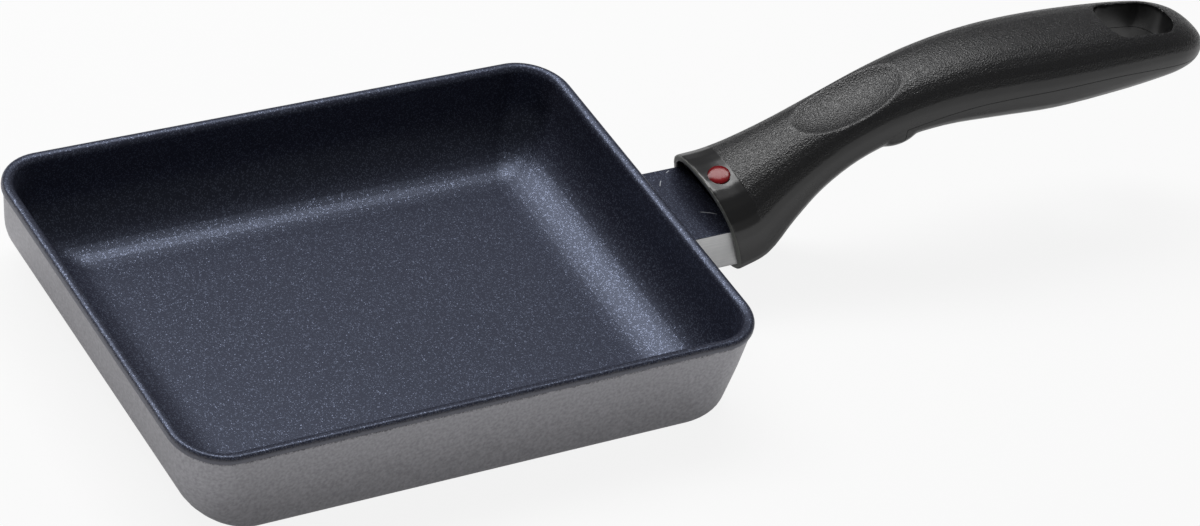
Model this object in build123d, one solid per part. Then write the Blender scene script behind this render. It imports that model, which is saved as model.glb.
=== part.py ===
from build123d import *
import os
from math import cos, radians, sin, sqrt, tan

# Tamagoyaki pan: a rectangular tray pan with a fixed handle.
# Millimetres. The origin is the middle of the pan's base, +Z is up and the handle runs along +X.

# Every cut runs past its face by this much
overrun = 2.0
# Gap round a piece that sits in a pocket
fit_clearance = 0.2

# Pan, outside sizes at the rim
rim_length = 178.3
rim_width = 128.6
pan_height = 30.0
plan_corner_radius = 14.5
wall_thickness = 3.0
floor_thickness = 3.5
# Each wall leans outward from upright, in degrees; the wall away from the handle leans most
far_wall_angle = 10.8
near_wall_angle = 1.5
# Roundings along the base and along the floor
base_edge_radius = 4.2
far_base_radius = 20.0
floor_edge_radius = 13.0
far_floor_radius = 17.0
# How much of the foot's rounding the plan corners lose
corner_loss_share = 0.5
# Levels of the outlines that the tray is lofted through, as shares of its height
level_shares = [0, 0.012, 0.045, 0.1, 0.17, 0.3, 0.47, 0.67, 1]
# The coated rim stands proud of the wall below it
rim_lip = 0.6
rim_bead_height = 1.0
rim_round_radius = 0.8
coating_thickness = 0.3
paint_thickness = 0.25
paint_bottom_height = 0.9

# Lug cast on the wall at the handle's end, and the thin tongue at its tip
lug_width = 30.0
lug_top_height = 22.6
lug_thickness = 13.2
lug_edge_radius = 2.5
tongue_width = 18.0
tongue_thickness = 3.6
tongue_tip_reach = 5.5

# Handle: overall sizes
handle_gap = 19.75
handle_length = 170.3
grip_middle_height = 50.6
grip_width = 30.4
grip_thickness = 24.0
# Sections square to the handle's middle line, from the mouth to the tail:
# place along X, height of the middle, width and thickness, as shares of the four sizes above
section_shares = [
    (0.000, 0.344, 1.178, 1.392),
    (0.048, 0.399, 1.099, 1.275),
    (0.100, 0.524, 0.941, 1.067),
    (0.159, 0.658, 0.829, 0.900),
    (0.230, 0.798, 0.763, 0.808),
    (0.312, 0.909, 0.783, 0.817),
    (0.406, 0.978, 0.855, 0.883),
    (0.511, 1.000, 0.947, 0.967),
    (0.635, 0.992, 1.000, 1.000),
    (0.770, 0.990, 0.947, 0.908),
    (0.864, 0.987, 0.866, 0.780),
    (0.914, 0.978, 0.822, 0.683),
    (0.953, 0.964, 0.691, 0.558),
    (0.982, 0.945, 0.480, 0.400),
    (0.996, 0.927, 0.224, 0.225),
    (1.000, 0.927, 0.086, 0.100),
]
# How far each section leans back from upright, in degrees
section_tilts = [24, 30, 35, 33, 27, 17, 8, 0, 0, 0, 0, 0, 0, 0, 0, 0]
# How square the sections are: 1 gives an ellipse, less gives flatter sides
roundness_share = 0.8
# Places round a section
section_points = 28

# Mouth of the collar
lip_thickness = 1.6
mouth_depth = 2.4
collar_edge_radius = 0.6

# Seam between the main moulding and the under cover: place along X and height,
# as shares of the handle's length and of the grip's middle height
seam_shares = [
    (0.323, 0.879),
    (0.400, 0.947),
    (0.476, 0.992),
    (0.605, 1.010),
    (0.752, 1.006),
    (0.900, 0.960),
    (1.040, 0.920),
]
seam_gap = 0.15
hook_width = 10.0
hook_thickness = 2.0
hook_length = 4.0
hook_drop = 4.0

# Finger bump under the cover
bump_share = 0.392
bump_length = 15.0
bump_width = 19.0
bump_height = 10.0
bump_proud = 2.6

# Hollow that the cover closes
hollow_wall = 3.4
hollow_front_share = 0.430
hollow_rear_share = 0.680

# Hanging hole with a squarer front end and a rounder rear end
hole_front_share = 0.749
hole_length = 26.0
hole_front_width = 15.2
hole_rear_width = 14.2
hole_front_radius = 4.2
hole_rear_radius = 6.6

# Thumb dent on the neck
dent_share = 0.250
dent_ball_length = 64.0
dent_ball_width = 40.0
dent_ball_height = 13.0
dent_depth = 2.5

# Screw that holds the handle on the lug
screw_diameter = 5.0
screw_head_diameter = 8.6
screw_head_height = 2.8
screw_setback = 15.1
screw_seat_drop = 2.4
screw_tip_setback = 0.8
cross_length = 4.4
cross_width = 1.1
cross_depth = 1.4
washer_diameter = 9.4
flat_washer_thickness = 1.0
spring_washer_diameter = 8.4
spring_washer_thickness = 1.1
spring_washer_split = 1.0

# Self-tapping screw in the under cover
cover_screw_share = 0.717
cover_screw_diameter = 3.0
cover_head_diameter = 5.6
cover_head_height = 2.0
cover_screw_length = 15.0
cover_seat_depth = 4.0
cover_cross_length = 3.0
cover_cross_width = 0.8
cover_cross_depth = 1.0

# Badge in the collar, a little to one side of the top
badge_diameter = 6.4
badge_thickness = 1.0
badge_proud = 0.35
badge_edge_radius = 0.3
badge_share = 0.036
badge_offset = 2.4
badge_turn = 7


# Places that the sizes give
mouth_place = rim_length / 2 + handle_gap
lug_bottom = lug_top_height - lug_thickness
tongue_bottom = lug_top_height - tongue_thickness
screw_place = mouth_place + screw_setback
tongue_tip = screw_place + tongue_tip_reach
screw_seat = tongue_bottom - screw_seat_drop


def along(share):
    """Place along X of a share of the handle's length."""
    return mouth_place + share * handle_length


def upward(share):
    """Height of a share of the grip's middle height."""
    return share * grip_middle_height


def block(x_from, x_to, width, z_from, z_to):
    """Box between two places along X and two heights, centred on Y."""
    middle = Pos((x_from + x_to) / 2, 0, (z_from + z_to) / 2)
    return middle * Box(x_to - x_from, width, z_to - z_from)


def disc(x, diameter, z_from, z_to):
    """Upright cylinder between two heights."""
    return Pos(x, 0, (z_from + z_to) / 2) * Cylinder(diameter / 2, z_to - z_from)


def wall_inset(height, bottom, lean, radius):
    """Distance in from the rim of a leaning wall with a rounded foot."""
    slope = tan(radians(lean))
    foot = bottom + radius * (1 - sin(radians(lean)))
    if height >= foot:
        return (pan_height - height) * slope
    centre = (pan_height - foot) * slope + radius * cos(radians(lean))
    return centre - sqrt(radius ** 2 - (bottom + radius - height) ** 2)


def tray_outline(height, bottom, inset, edge_radius, far_radius):
    """Rounded rectangle of the pan at a height, drawn in from the rim's outside."""
    side_inset = wall_inset(height, bottom, near_wall_angle, edge_radius)
    far_inset = wall_inset(height, bottom, far_wall_angle, far_radius)
    near = rim_length / 2 - inset - side_inset
    far = rim_length / 2 - inset - far_inset
    width = rim_width - 2 * (inset + side_inset)
    corner_radius = plan_corner_radius - inset - side_inset * corner_loss_share
    outline = RectangleRounded(near + far, width, corner_radius)
    return Pos((near - far) / 2, 0, height) * outline


def tray(bottom, top, inset, edge_radius=0, far_radius=0):
    """Solid that fills the pan's form between two heights, with a rounded foot if it has radii."""
    shares = level_shares if edge_radius > 0 else [0, 1]
    outlines = [tray_outline(bottom + share * (top - bottom), bottom, inset, edge_radius, far_radius)
                for share in shares]
    return loft([outline.face() for outline in outlines], ruled=True)


def section_frame(share):
    """Frame in the middle of the handle's section at a place, with X along the handle."""
    middle, tilt = between(share, 1), between_tilts(share)
    return Pos(along(share), 0, upward(middle)) * Rot(0, -tilt, 0)


def between(share, column):
    """Value of a column of the section table at a place between two sections."""
    for low, high in zip(section_shares, section_shares[1:]):
        if low[0] <= share <= high[0]:
            part = (share - low[0]) / (high[0] - low[0])
            return low[column] + part * (high[column] - low[column])
    return section_shares[-1][column]


def between_tilts(share):
    """Tilt in degrees at a place between two sections."""
    places = [row[0] for row in section_shares]
    for index in range(len(places) - 1):
        if places[index] <= share <= places[index + 1]:
            part = (share - places[index]) / (places[index + 1] - places[index])
            return section_tilts[index] + part * (section_tilts[index + 1] - section_tilts[index])
    return section_tilts[-1]


def half_thickness(share):
    """Half the handle's thickness at a place."""
    return between(share, 3) * grip_thickness / 2


def handle_section(index, inset=0):
    """Face of one section of the handle, a squared ellipse."""
    place, middle, width, thickness = section_shares[index]
    half_width = width * grip_width / 2 - inset
    half_height = thickness * grip_thickness / 2 - inset
    points = []
    for step in range(section_points):
        angle = radians(360 * step / section_points)
        across = abs(cos(angle)) ** roundness_share
        up = abs(sin(angle)) ** roundness_share
        y = half_width * across * (1 if cos(angle) > 0 else -1)
        z = half_height * up * (1 if sin(angle) > 0 else -1)
        points.append(Vector(0, y, z))
    outline = Face(Wire([Edge.make_spline(points, periodic=True)]))
    return section_frame(place) * outline


def handle_form(first, last, inset=0):
    """Smooth solid through the handle's sections."""
    return loft([handle_section(index, inset) for index in range(first, last + 1)])


def behind_mouth(depth_from, depth_to):
    """Slab between two depths behind the collar's slanted mouth."""
    slab = block(depth_from, depth_to, rim_width, -grip_middle_height, grip_middle_height)
    return section_frame(0) * slab


def lug_bar(gap):
    """Lug without its slanted end, with rounded lower edges, grown by a gap."""
    bar = block(0, tongue_tip, lug_width + 2 * gap, lug_bottom - gap, lug_top_height + gap)
    lower_edges = bar.edges().filter_by(Axis.X).group_by(Axis.Z)[0]
    return fillet(lower_edges, lug_edge_radius + gap)


def lug_tongue(gap):
    """Tongue at the lug's tip, grown by a gap."""
    return block(0, tongue_tip + gap, tongue_width + 2 * gap, tongue_bottom - gap, lug_top_height + gap)


def make_pan():
    """Tray with its lug, split into metal, outer paint and inner coating."""
    skin_inset = rim_lip + paint_thickness
    cavity_inset = rim_lip + wall_thickness
    outside = tray(0, pan_height, rim_lip, base_edge_radius, far_base_radius)
    bead_bottom = pan_height - rim_bead_height
    bead = extrude(tray_outline(pan_height, 0, 0, 0, 0), -rim_bead_height)
    cavity = tray(floor_thickness, pan_height + overrun, cavity_inset, floor_edge_radius, far_floor_radius)
    whole = outside + bead - cavity
    whole = fillet(whole.edges().group_by(Axis.Z)[-1], rim_round_radius)

    lug = lug_bar(0) - behind_mouth(mouth_depth - fit_clearance, handle_length / 2)
    lug = lug + lug_tongue(0) - tray(0, pan_height, cavity_inset - wall_thickness / 2)

    core_top = pan_height - coating_thickness
    metal_floor = floor_thickness - coating_thickness
    metal_cavity = tray(metal_floor, pan_height + overrun, cavity_inset - coating_thickness,
                        floor_edge_radius + coating_thickness, far_floor_radius + coating_thickness)
    core = tray(0, core_top, skin_inset) - metal_cavity
    core = fillet(core.edges().group_by(Axis.Z)[-1], rim_round_radius - coating_thickness)

    paint = whole & tray(paint_bottom_height, bead_bottom, 0)
    paint = paint - lug - tray(paint_thickness, pan_height, skin_inset,
                               base_edge_radius - paint_thickness, far_base_radius - paint_thickness)
    bead_zone = Pos(0, 0, bead_bottom + pan_height / 2) * Box(2 * rim_length, 2 * rim_width, pan_height)
    coating = (whole & (bead_zone + metal_cavity)) - core
    film = block(0, mouth_place, lug_width, lug_top_height - coating_thickness, lug_top_height)
    film = (film & lug) - outside
    metal = whole - paint - coating + lug - film
    metal = metal - disc(screw_place, screw_diameter + fit_clearance, 0, pan_height)
    return metal, paint, coating, film


def ball(length, width, height):
    """Ellipsoid with three full sizes."""
    return scale(Sphere(1), by=(length / 2, width / 2, height / 2))


def below_seam(gap):
    """Block under the seam line, grown upward and forward by a gap."""
    seam = [(along(place), upward(height) + gap) for place, height in seam_shares]
    seam[0] = (seam[0][0] - gap, seam[0][1])
    front, rear = seam[0][0], seam[-1][0]
    line = Polyline(seam[-1], (rear, 0), (front, 0), seam[0])
    profile = make_face(Plane.XZ * (Curve() + [Spline(*seam), line]))
    return extrude(profile, grip_width, both=True)


def hanging_hole():
    """Upright hole with round corners."""
    front = along(hole_front_share)
    rear = front + hole_length
    corners = [(front, -hole_front_width / 2), (rear, -hole_rear_width / 2),
               (rear, hole_rear_width / 2), (front, hole_front_width / 2)]
    outline = make_face(Polyline(*corners, close=True))
    outline = fillet(outline.vertices().group_by(Axis.X)[0], hole_front_radius)
    outline = fillet(outline.vertices().group_by(Axis.X)[-1], hole_rear_radius)
    return extrude(outline, grip_middle_height + grip_thickness)


def cross_recess(x, length, width, z_from, z_to):
    """Two crossed slots of a screw's drive."""
    return block(x - length / 2, x + length / 2, width, z_from, z_to) + block(
        x - width / 2, x + width / 2, length, z_from, z_to)


def make_screw(x, shank, head, head_bottom, seat, tip, cross):
    """Pan head screw that points up, with a cross recess below."""
    screw = disc(x, head, head_bottom, seat) + disc(x, shank, seat, tip)
    length, width, depth = cross
    return screw - cross_recess(x, length, width, head_bottom, head_bottom + depth)


def make_handle():
    """Main moulding and under cover of the handle."""
    form = handle_form(0, len(section_shares) - 1)
    form = fillet(form.faces().sort_by(Axis.X)[0].edges(), collar_edge_radius)

    mouth = handle_form(0, 2, lip_thickness) & behind_mouth(0, mouth_depth)
    socket = lug_bar(fit_clearance) & behind_mouth(-overrun, mouth_depth)
    slot = lug_tongue(fit_clearance)
    screw_hole = disc(screw_place, screw_diameter + 2 * fit_clearance, 0, lug_top_height)
    screw_pocket = disc(screw_place, washer_diameter + 2 * fit_clearance, 0, screw_seat)

    hollow_front, hollow_rear = along(hollow_front_share), along(hollow_rear_share)
    hollow = handle_form(6, 9, hollow_wall) & block(
        hollow_front, hollow_rear, rim_width, 0, grip_middle_height + grip_thickness)

    dent_rise = half_thickness(dent_share) + dent_ball_height / 2 - dent_depth
    dent = section_frame(dent_share) * Pos(0, 0, dent_rise)
    dent = dent * ball(dent_ball_length, dent_ball_width, dent_ball_height)

    badge_pocket = badge_seat() * Cylinder((badge_diameter + fit_clearance) / 2, 2 * badge_thickness)

    hook_front = along(seam_shares[0][0]) - hook_length
    hook_rear = along(seam_shares[0][0]) + hook_length
    hook_top = upward(seam_shares[0][1]) - hook_drop
    hook = block(hook_front, hook_rear, hook_width, hook_top - hook_thickness, hook_top)
    hook_slot = block(hook_front - fit_clearance, hook_rear, hook_width + 2 * fit_clearance,
                      hook_top - hook_thickness - fit_clearance, hook_top + fit_clearance)

    x, seat = along(cover_screw_share), cover_seat()
    cover_hole = disc(x, cover_screw_diameter + fit_clearance, 0, seat + cover_screw_length)
    cover_pocket = disc(x, cover_head_diameter + 2 * fit_clearance, 0, seat)
    hole = hanging_hole()

    shell = form - below_seam(seam_gap / 2) - mouth - socket - slot - screw_hole - screw_pocket
    shell = shell - hollow - dent - badge_pocket - hook_slot - cover_hole - hole

    bump_drop = half_thickness(bump_share) + bump_proud - bump_height / 2
    bump = section_frame(bump_share) * Pos(0, 0, -bump_drop)
    bump = bump * ball(bump_length, bump_width, bump_height)
    cover = (form & below_seam(-seam_gap / 2)) + bump + hook - hollow - cover_hole - cover_pocket - hole
    return shell, cover


def cover_seat():
    """Height of the cover screw's seat."""
    middle = upward(between(cover_screw_share, 1))
    return middle - half_thickness(cover_screw_share) + cover_seat_depth


def badge_seat():
    """Place of the badge's middle on the collar's top, square to it."""
    drop = badge_offset * tan(radians(badge_turn)) / 2
    top = half_thickness(badge_share) - drop
    return section_frame(badge_share) * Pos(0, -badge_offset, top) * Rot(badge_turn, 0, 0)


def make_badge():
    """Plain disc with a rounded front edge."""
    disc_shape = Cylinder(badge_diameter / 2, badge_thickness)
    disc_shape = fillet(disc_shape.edges().group_by(Axis.Z)[-1], badge_edge_radius)
    return badge_seat() * Pos(0, 0, badge_proud - badge_thickness / 2) * disc_shape


def make_washers():
    """Flat washer under the seat and the split spring washer under it."""
    flat_bottom = screw_seat - flat_washer_thickness
    spring_bottom = flat_bottom - spring_washer_thickness
    bore = disc(screw_place, screw_diameter + 2 * fit_clearance, 0, screw_seat)
    flat = disc(screw_place, washer_diameter, flat_bottom, screw_seat) - bore
    spring = disc(screw_place, spring_washer_diameter, spring_bottom, flat_bottom) - bore
    split = block(screw_place, screw_place + spring_washer_diameter, spring_washer_split,
                  spring_bottom, flat_bottom)
    return flat, spring - split, spring_bottom


metal, paint, coating, film = make_pan()
shell, cover = make_handle()
flat_washer, spring_washer, head_top = make_washers()
handle_screw = make_screw(screw_place, screw_diameter, screw_head_diameter,
                          head_top - screw_head_height, head_top,
                          lug_top_height - screw_tip_setback, (cross_length, cross_width, cross_depth))
cover_screw = make_screw(along(cover_screw_share), cover_screw_diameter, cover_head_diameter,
                         cover_seat() - cover_head_height, cover_seat(), cover_seat() + cover_screw_length,
                         (cover_cross_length, cover_cross_width, cover_cross_depth))

pieces = {
    "pan_body": metal,
    "nonstick_coating": Compound(children=coating.solids() + film.solids()),
    "outer_coating": paint,
    "handle_shell": shell,
    "under_cover": cover,
    "handle_screw": handle_screw,
    "flat_washer": flat_washer,
    "spring_washer": spring_washer,
    "cover_screw": cover_screw,
    "badge": make_badge(),
}
os.makedirs("parts", exist_ok=True)
for name, shape in pieces.items():
    export_step(shape, "parts/" + name + ".step")
    print(name, len(shape.solids()), round(shape.volume, 1), shape.is_valid, shape.bounding_box())
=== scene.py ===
import bpy
import bmesh
from math import cos, pi, radians, sin, sqrt, tan
from mathutils import Matrix, Vector


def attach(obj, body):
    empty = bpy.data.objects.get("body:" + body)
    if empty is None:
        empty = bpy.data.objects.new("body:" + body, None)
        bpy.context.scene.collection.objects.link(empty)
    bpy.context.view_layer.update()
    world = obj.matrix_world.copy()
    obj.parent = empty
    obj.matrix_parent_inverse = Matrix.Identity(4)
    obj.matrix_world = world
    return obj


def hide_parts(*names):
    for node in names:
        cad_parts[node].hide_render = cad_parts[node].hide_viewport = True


# Tamagoyaki pan: a coated tray pan with a moulded handle.
# Metres in the scene, millimetres in the dictionaries.
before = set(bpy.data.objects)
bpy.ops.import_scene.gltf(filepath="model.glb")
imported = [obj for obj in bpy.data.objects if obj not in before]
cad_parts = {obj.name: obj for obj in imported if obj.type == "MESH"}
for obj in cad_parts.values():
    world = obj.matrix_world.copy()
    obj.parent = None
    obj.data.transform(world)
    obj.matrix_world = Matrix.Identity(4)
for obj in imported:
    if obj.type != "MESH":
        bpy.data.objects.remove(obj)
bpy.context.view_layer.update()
print("frame loaded")

mm = 0.001
touching = 0.01  # places closer than this, in mm, count as one
merge = 1e-6  # points closer than this, in metres, are merged
level = 0.01  # outlines at one height are set this far apart, so that they bridge the right way round


def newPiece(name):
    # an empty mesh at the origin, left in edit mode
    bpy.ops.object.select_all(action="DESELECT")
    bpy.ops.object.add(type="MESH", location=(0, 0, 0))
    piece = bpy.context.object
    piece.name = name
    piece.data.name = name
    bpy.ops.object.mode_set(mode="EDIT")
    bpy.ops.mesh.select_mode(type="VERT")
    return piece


def closePiece(piece):
    # merge, point the faces outward, leave edit mode
    bpy.ops.mesh.select_all(action="SELECT")
    bpy.ops.mesh.remove_doubles(threshold=merge)
    bpy.ops.mesh.normals_make_consistent(inside=False)
    bpy.ops.object.mode_set(mode="OBJECT")
    piece.vertex_groups.clear()


def selectWhere(piece, kind, wanted):
    # selects the verts, edges or faces that pass a test
    bpy.ops.mesh.select_all(action="DESELECT")
    mesh = bmesh.from_edit_mesh(piece.data)
    for part in getattr(mesh, kind):
        if wanted(part):
            part.select = True
    mesh.select_flush_mode()
    bmesh.update_edit_mesh(piece.data)


def drawOut(length, width, height):
    # gives these sizes to a selected primitive that was added at the origin with size 1
    bpy.ops.transform.resize(value=(length * mm, width * mm, height * mm), center_override=(0, 0, 0))


def turnUp(degrees):
    # turns what is selected about the Y axis through the origin; plus lifts its +X end
    bpy.ops.transform.rotate(value=radians(degrees), orient_axis="Y", center_override=(0, 0, 0))


def moveTo(place):
    bpy.ops.transform.translate(value=Vector(place) * mm)


def addRing(piece, place, tilt, height, width, corner=None, profile=0.5, segments=10):
    # one outline: a plane with bevelled corners; it lies flat at tilt None, and otherwise it is
    # square to a line that climbs by tilt degrees; corner is a radius for +X and one for -X, 0 for
    # a plain rectangle, or None for corners rounded all the way to the middle of each side
    bpy.ops.mesh.select_all(action="DESELECT")
    bpy.ops.mesh.primitive_plane_add(size=1, location=(0, 0, 0))
    drawOut(height, width, 1)
    if corner is None:
        bpy.ops.mesh.bevel(offset_type="PERCENT", offset_pct=50, segments=segments, profile=profile,
                           affect="VERTICES", clamp_overlap=False)
        bpy.ops.mesh.remove_doubles(threshold=merge)
    elif corner:
        # only the new outline has a face yet
        end = (height / 2 - touching) * mm
        for side, radius in zip((1, -1), corner):
            selectWhere(piece, "verts", lambda v: v.link_faces and v.co.x * side > end)
            bpy.ops.mesh.bevel(offset_type="OFFSET", offset=radius * mm, segments=segments, profile=0.5,
                               affect="VERTICES", clamp_overlap=False)
        selectWhere(piece, "verts", lambda v: v.link_faces)
    if tilt is not None:
        turnUp(tilt - 90)
    moveTo(place)
    group = piece.vertex_groups.new(name="ring%03d" % len(piece.vertex_groups))
    piece.vertex_groups.active_index = group.index
    bpy.ops.object.vertex_group_assign()
    bpy.ops.mesh.delete(type="ONLY_FACE")


def selectRings(piece, *names):
    bpy.ops.mesh.select_all(action="DESELECT")
    for name in names:
        piece.vertex_groups.active_index = piece.vertex_groups[name].index
        bpy.ops.object.vertex_group_select()


def bridgeRings(piece, *filled):
    # joins each outline to the next, then fills the ones at these places in the row
    names = [group.name for group in piece.vertex_groups]
    for low, high in zip(names, names[1:]):
        selectRings(piece, low, high)
        bpy.ops.mesh.bridge_edge_loops()
    for index in filled:
        selectRings(piece, names[index])
        bpy.ops.mesh.edge_face_add()


def pickOnly(piece):
    bpy.ops.object.select_all(action="DESELECT")
    piece.select_set(True)
    bpy.context.view_layer.objects.active = piece


def useModifier(piece, kind, **settings):
    pickOnly(piece)
    modifier = piece.modifiers.new(kind.lower(), kind)
    for name, value in settings.items():
        setattr(modifier, name, value)
    bpy.ops.object.modifier_apply(modifier=modifier.name)


def cutWith(piece, cutter, operation="DIFFERENCE"):
    useModifier(piece, "BOOLEAN", object=cutter, operation=operation, solver="EXACT")
    bpy.data.objects.remove(cutter)


def smoothShade(piece, angle):
    pickOnly(piece)
    bpy.ops.object.shade_smooth_by_angle(angle=radians(angle))


# the tray: length along X, far end at -X, where the wall leans out more
tray = {
    "length": 178.3,
    "width": 128.6,
    "height": 30.0,
    "cornerRadius": 14.5,
    "cornerSteps": 14,
    "farLean": 10.8,
    "nearLean": 1.5,
    "footRadius": 4.2,
    "farFootRadius": 20.0,
    # outside, the corners at the handle's end get rounder towards the foot and the far ones tighter
    "footRounder": 6.0,
    "farFootTighter": 4.0,
    "footSpread": 1.5,
    "floorRadius": 19.0,
    "farFloorRadius": 21.0,
    "floor": 3.5,
    "wall": 3.3,
    "lip": 0.3,
    "coating": 0.3,
    "paint": 0.25,
    "smooth": 35,
}

# the casting's top edge lies hidden under the film: depths under it, and widths from either side
castRim = {
    "behindFilm": 0.05,
    "wallEnd": 2.6,
    "inBend": 1.9,
    "flat": 0.55,
    "flatIn": 1.2,
    "flatOut": 1.0,
    "outBend": 1.7,
    "footSteps": 8,
}

# the film's rim: a bead outside, and a bend on either side of the top
filmRim = {
    "beadHeight": 2.0,
    "beadEdge": 0.12,
    "outBend": 1.3,
    "inBend": 2.1,
    "bendSteps": 6,
    "wallGap": 0.6,
    "footSteps": 10,
    "floorInset": 1.2,
}

paintSheet = {"bottom": 0.9, "gap": 0.05, "footSteps": 10}


def wallInset(height, top, bottom, lean, radius):
    # how far in a leaning wall with a rounded foot stands from its rim
    slope = tan(radians(lean))
    foot = bottom + radius * (1 - sin(radians(lean)))
    if height >= foot:
        return (top - height) * slope
    centre = (top - foot) * slope + radius * cos(radians(lean))
    return centre - sqrt(max(radius ** 2 - (bottom + radius - height) ** 2, 0))


def trayRing(piece, height, inset, bottom=None, radius=0, farRadius=0, outside=False):
    # rounded rectangle of the tray at a height, drawn in by an inset and by its leaning walls
    side = far = 0
    if bottom is not None:
        side = wallInset(height, tray["height"], bottom, tray["nearLean"], radius)
        far = wallInset(height, tray["height"], bottom, tray["farLean"], farRadius)
    nearEnd = tray["length"] / 2 - inset - side
    farEnd = tray["length"] / 2 - inset - far
    width = tray["width"] - 2 * (inset + side)
    corner = tray["cornerRadius"] - inset - side / 2
    low = (1 - height / tray["height"]) ** tray["footSpread"] if outside else 0
    corners = (corner + tray["footRounder"] * low, corner - tray["farFootTighter"] * low)
    addRing(piece, ((nearEnd - farEnd) / 2, 0, height), None, nearEnd + farEnd, width, corners,
            segments=tray["cornerSteps"])


def levelsOf(top, steps, bottom, radius, farRadius):
    # heights of the rings: close together round the foot, then one at each end of the straight wall
    farArc, nearArc = 0.88, 0.97  # shares of a quarter turn, because a leaning wall ends it early
    wallGap, least = 0.5, 0.02
    heights = []
    for step in range(steps + 1):
        heights.append(bottom + farRadius * (1 - cos(pi / 2 * step / steps * farArc)))
    for step in range(1, steps):
        heights.append(bottom + radius * (1 - cos(pi / 2 * step / steps * nearArc)))
    heights = sorted(h for h in set(round(h, 3) for h in heights) if h < top - wallGap)
    kept = [heights[0]]
    for h in heights[1:]:
        if h - kept[-1] > least:
            kept.append(h)
    return kept + [top]


def makeCasting():
    # cast aluminium core of the tray, closed all round
    piece = newPiece("trayCasting")
    skin = tray["lip"] + tray["paint"]
    inner = tray["lip"] + tray["wall"] - tray["coating"]
    top = tray["height"] - tray["coating"]
    inside = (tray["floor"] - tray["coating"], tray["floorRadius"] + tray["coating"],
              tray["farFloorRadius"] + tray["coating"])
    outside = (0, tray["footRadius"], tray["farFootRadius"])
    for height in levelsOf(top - castRim["wallEnd"], castRim["footSteps"], *inside):
        trayRing(piece, height, inner + castRim["behindFilm"], *inside)
    trayRing(piece, top - castRim["inBend"], inner + castRim["behindFilm"])
    trayRing(piece, top - castRim["flat"] - level, inner - castRim["flatIn"])
    trayRing(piece, top - castRim["flat"], skin + castRim["flatOut"])
    for height in reversed(levelsOf(top - castRim["outBend"], castRim["footSteps"], *outside)):
        trayRing(piece, height, skin, *outside, True)
    bridgeRings(piece, 0, -1)
    closePiece(piece)
    return piece


def makeCoating():
    # nonstick film: bead under the rim, over the rim, down the walls and across the floor
    piece = newPiece("trayCoating")
    top = tray["height"]
    inner = tray["lip"] + tray["wall"]
    inside = (tray["floor"], tray["floorRadius"], tray["farFloorRadius"])
    bottom = top - filmRim["beadHeight"]
    trayRing(piece, bottom - level, tray["lip"] + tray["paint"])
    trayRing(piece, bottom, filmRim["beadEdge"])
    trayRing(piece, bottom + filmRim["beadEdge"], 0)
    steps = filmRim["bendSteps"]
    quarter = [pi / 2 * step / steps for step in range(steps + 1)]
    bend = filmRim["outBend"]
    for angle in quarter:
        trayRing(piece, top - bend + bend * sin(angle), bend - bend * cos(angle))
    bend = filmRim["inBend"]
    for angle in quarter:
        trayRing(piece, top - level - bend + bend * cos(angle), inner - bend + bend * sin(angle))
    for height in reversed(levelsOf(top - bend - filmRim["wallGap"], filmRim["footSteps"], *inside)):
        trayRing(piece, height, inner, *inside)
    bridgeRings(piece, -1)
    # an inset on the flat floor keeps its shading level
    bpy.ops.mesh.inset(thickness=filmRim["floorInset"] * mm, depth=0)
    closePiece(piece)
    floor = min(piece.data.polygons, key=lambda face: face.center.z)
    if floor.normal.z < 0:
        piece.data.flip_normals()
    return piece


def makePaint():
    # grey outer paint: a thin sheet from under the bead to the foot
    piece = newPiece("trayPaint")
    outside = (0, tray["footRadius"], tray["farFootRadius"])
    bottom = paintSheet["bottom"]
    levels = levelsOf(tray["height"] - filmRim["beadHeight"], paintSheet["footSteps"], *outside)
    for height in [bottom] + [height for height in levels if height > bottom + paintSheet["gap"]]:
        trayRing(piece, height, tray["lip"], *outside, True)
    bridgeRings(piece)
    closePiece(piece)
    return piece


# the lug: a bar cast with the tray that carries the handle
lug = {
    "width": 30.0,
    "top": 22.6,
    "thickness": 13.9,
    "edge": 1.1,
    "edgeSteps": 6,
    "film": 0.3,
    "root": 86.5,
    "inMouth": 2.2,  # how far it goes into the handle's mouth
    "spare": 12.0,  # cut off again along the mouth's slant
}


def makeLugBlock(name, top, bottom, edge):
    # a bar from inside the wall to a slanted plane in the handle's mouth
    piece = newPiece(name)
    end = handle["mouth"][0] + lug["spare"]
    bpy.ops.mesh.primitive_cube_add(size=1, location=(0, 0, 0))
    drawOut(end - lug["root"], lug["width"], top - bottom)
    moveTo(((lug["root"] + end) / 2, 0, (top + bottom) / 2))
    normal = Vector((cos(mouthTilt), 0, sin(mouthTilt)))
    place = Vector((handle["mouth"][0], 0, handle["mouth"][1])) * mm + normal * lug["inMouth"] * mm
    bpy.ops.mesh.select_all(action="SELECT")
    bpy.ops.mesh.bisect(plane_co=place, plane_no=normal, use_fill=True, clear_outer=True)
    if edge > 0:
        # rounds the two lower edges that run along X
        bpy.ops.mesh.select_mode(type="EDGE")
        selectWhere(piece, "edges", lambda line: isLowAlongX(line, bottom))
        bpy.ops.mesh.bevel(offset=edge * mm, segments=lug["edgeSteps"], affect="EDGES")
        bpy.ops.mesh.select_mode(type="VERT")
    closePiece(piece)
    return piece


def isLowAlongX(line, bottom):
    a, b = line.verts[0].co / mm, line.verts[1].co / mm
    return max(abs(a.z - bottom), abs(b.z - bottom), abs(a.y - b.y)) < touching


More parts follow.
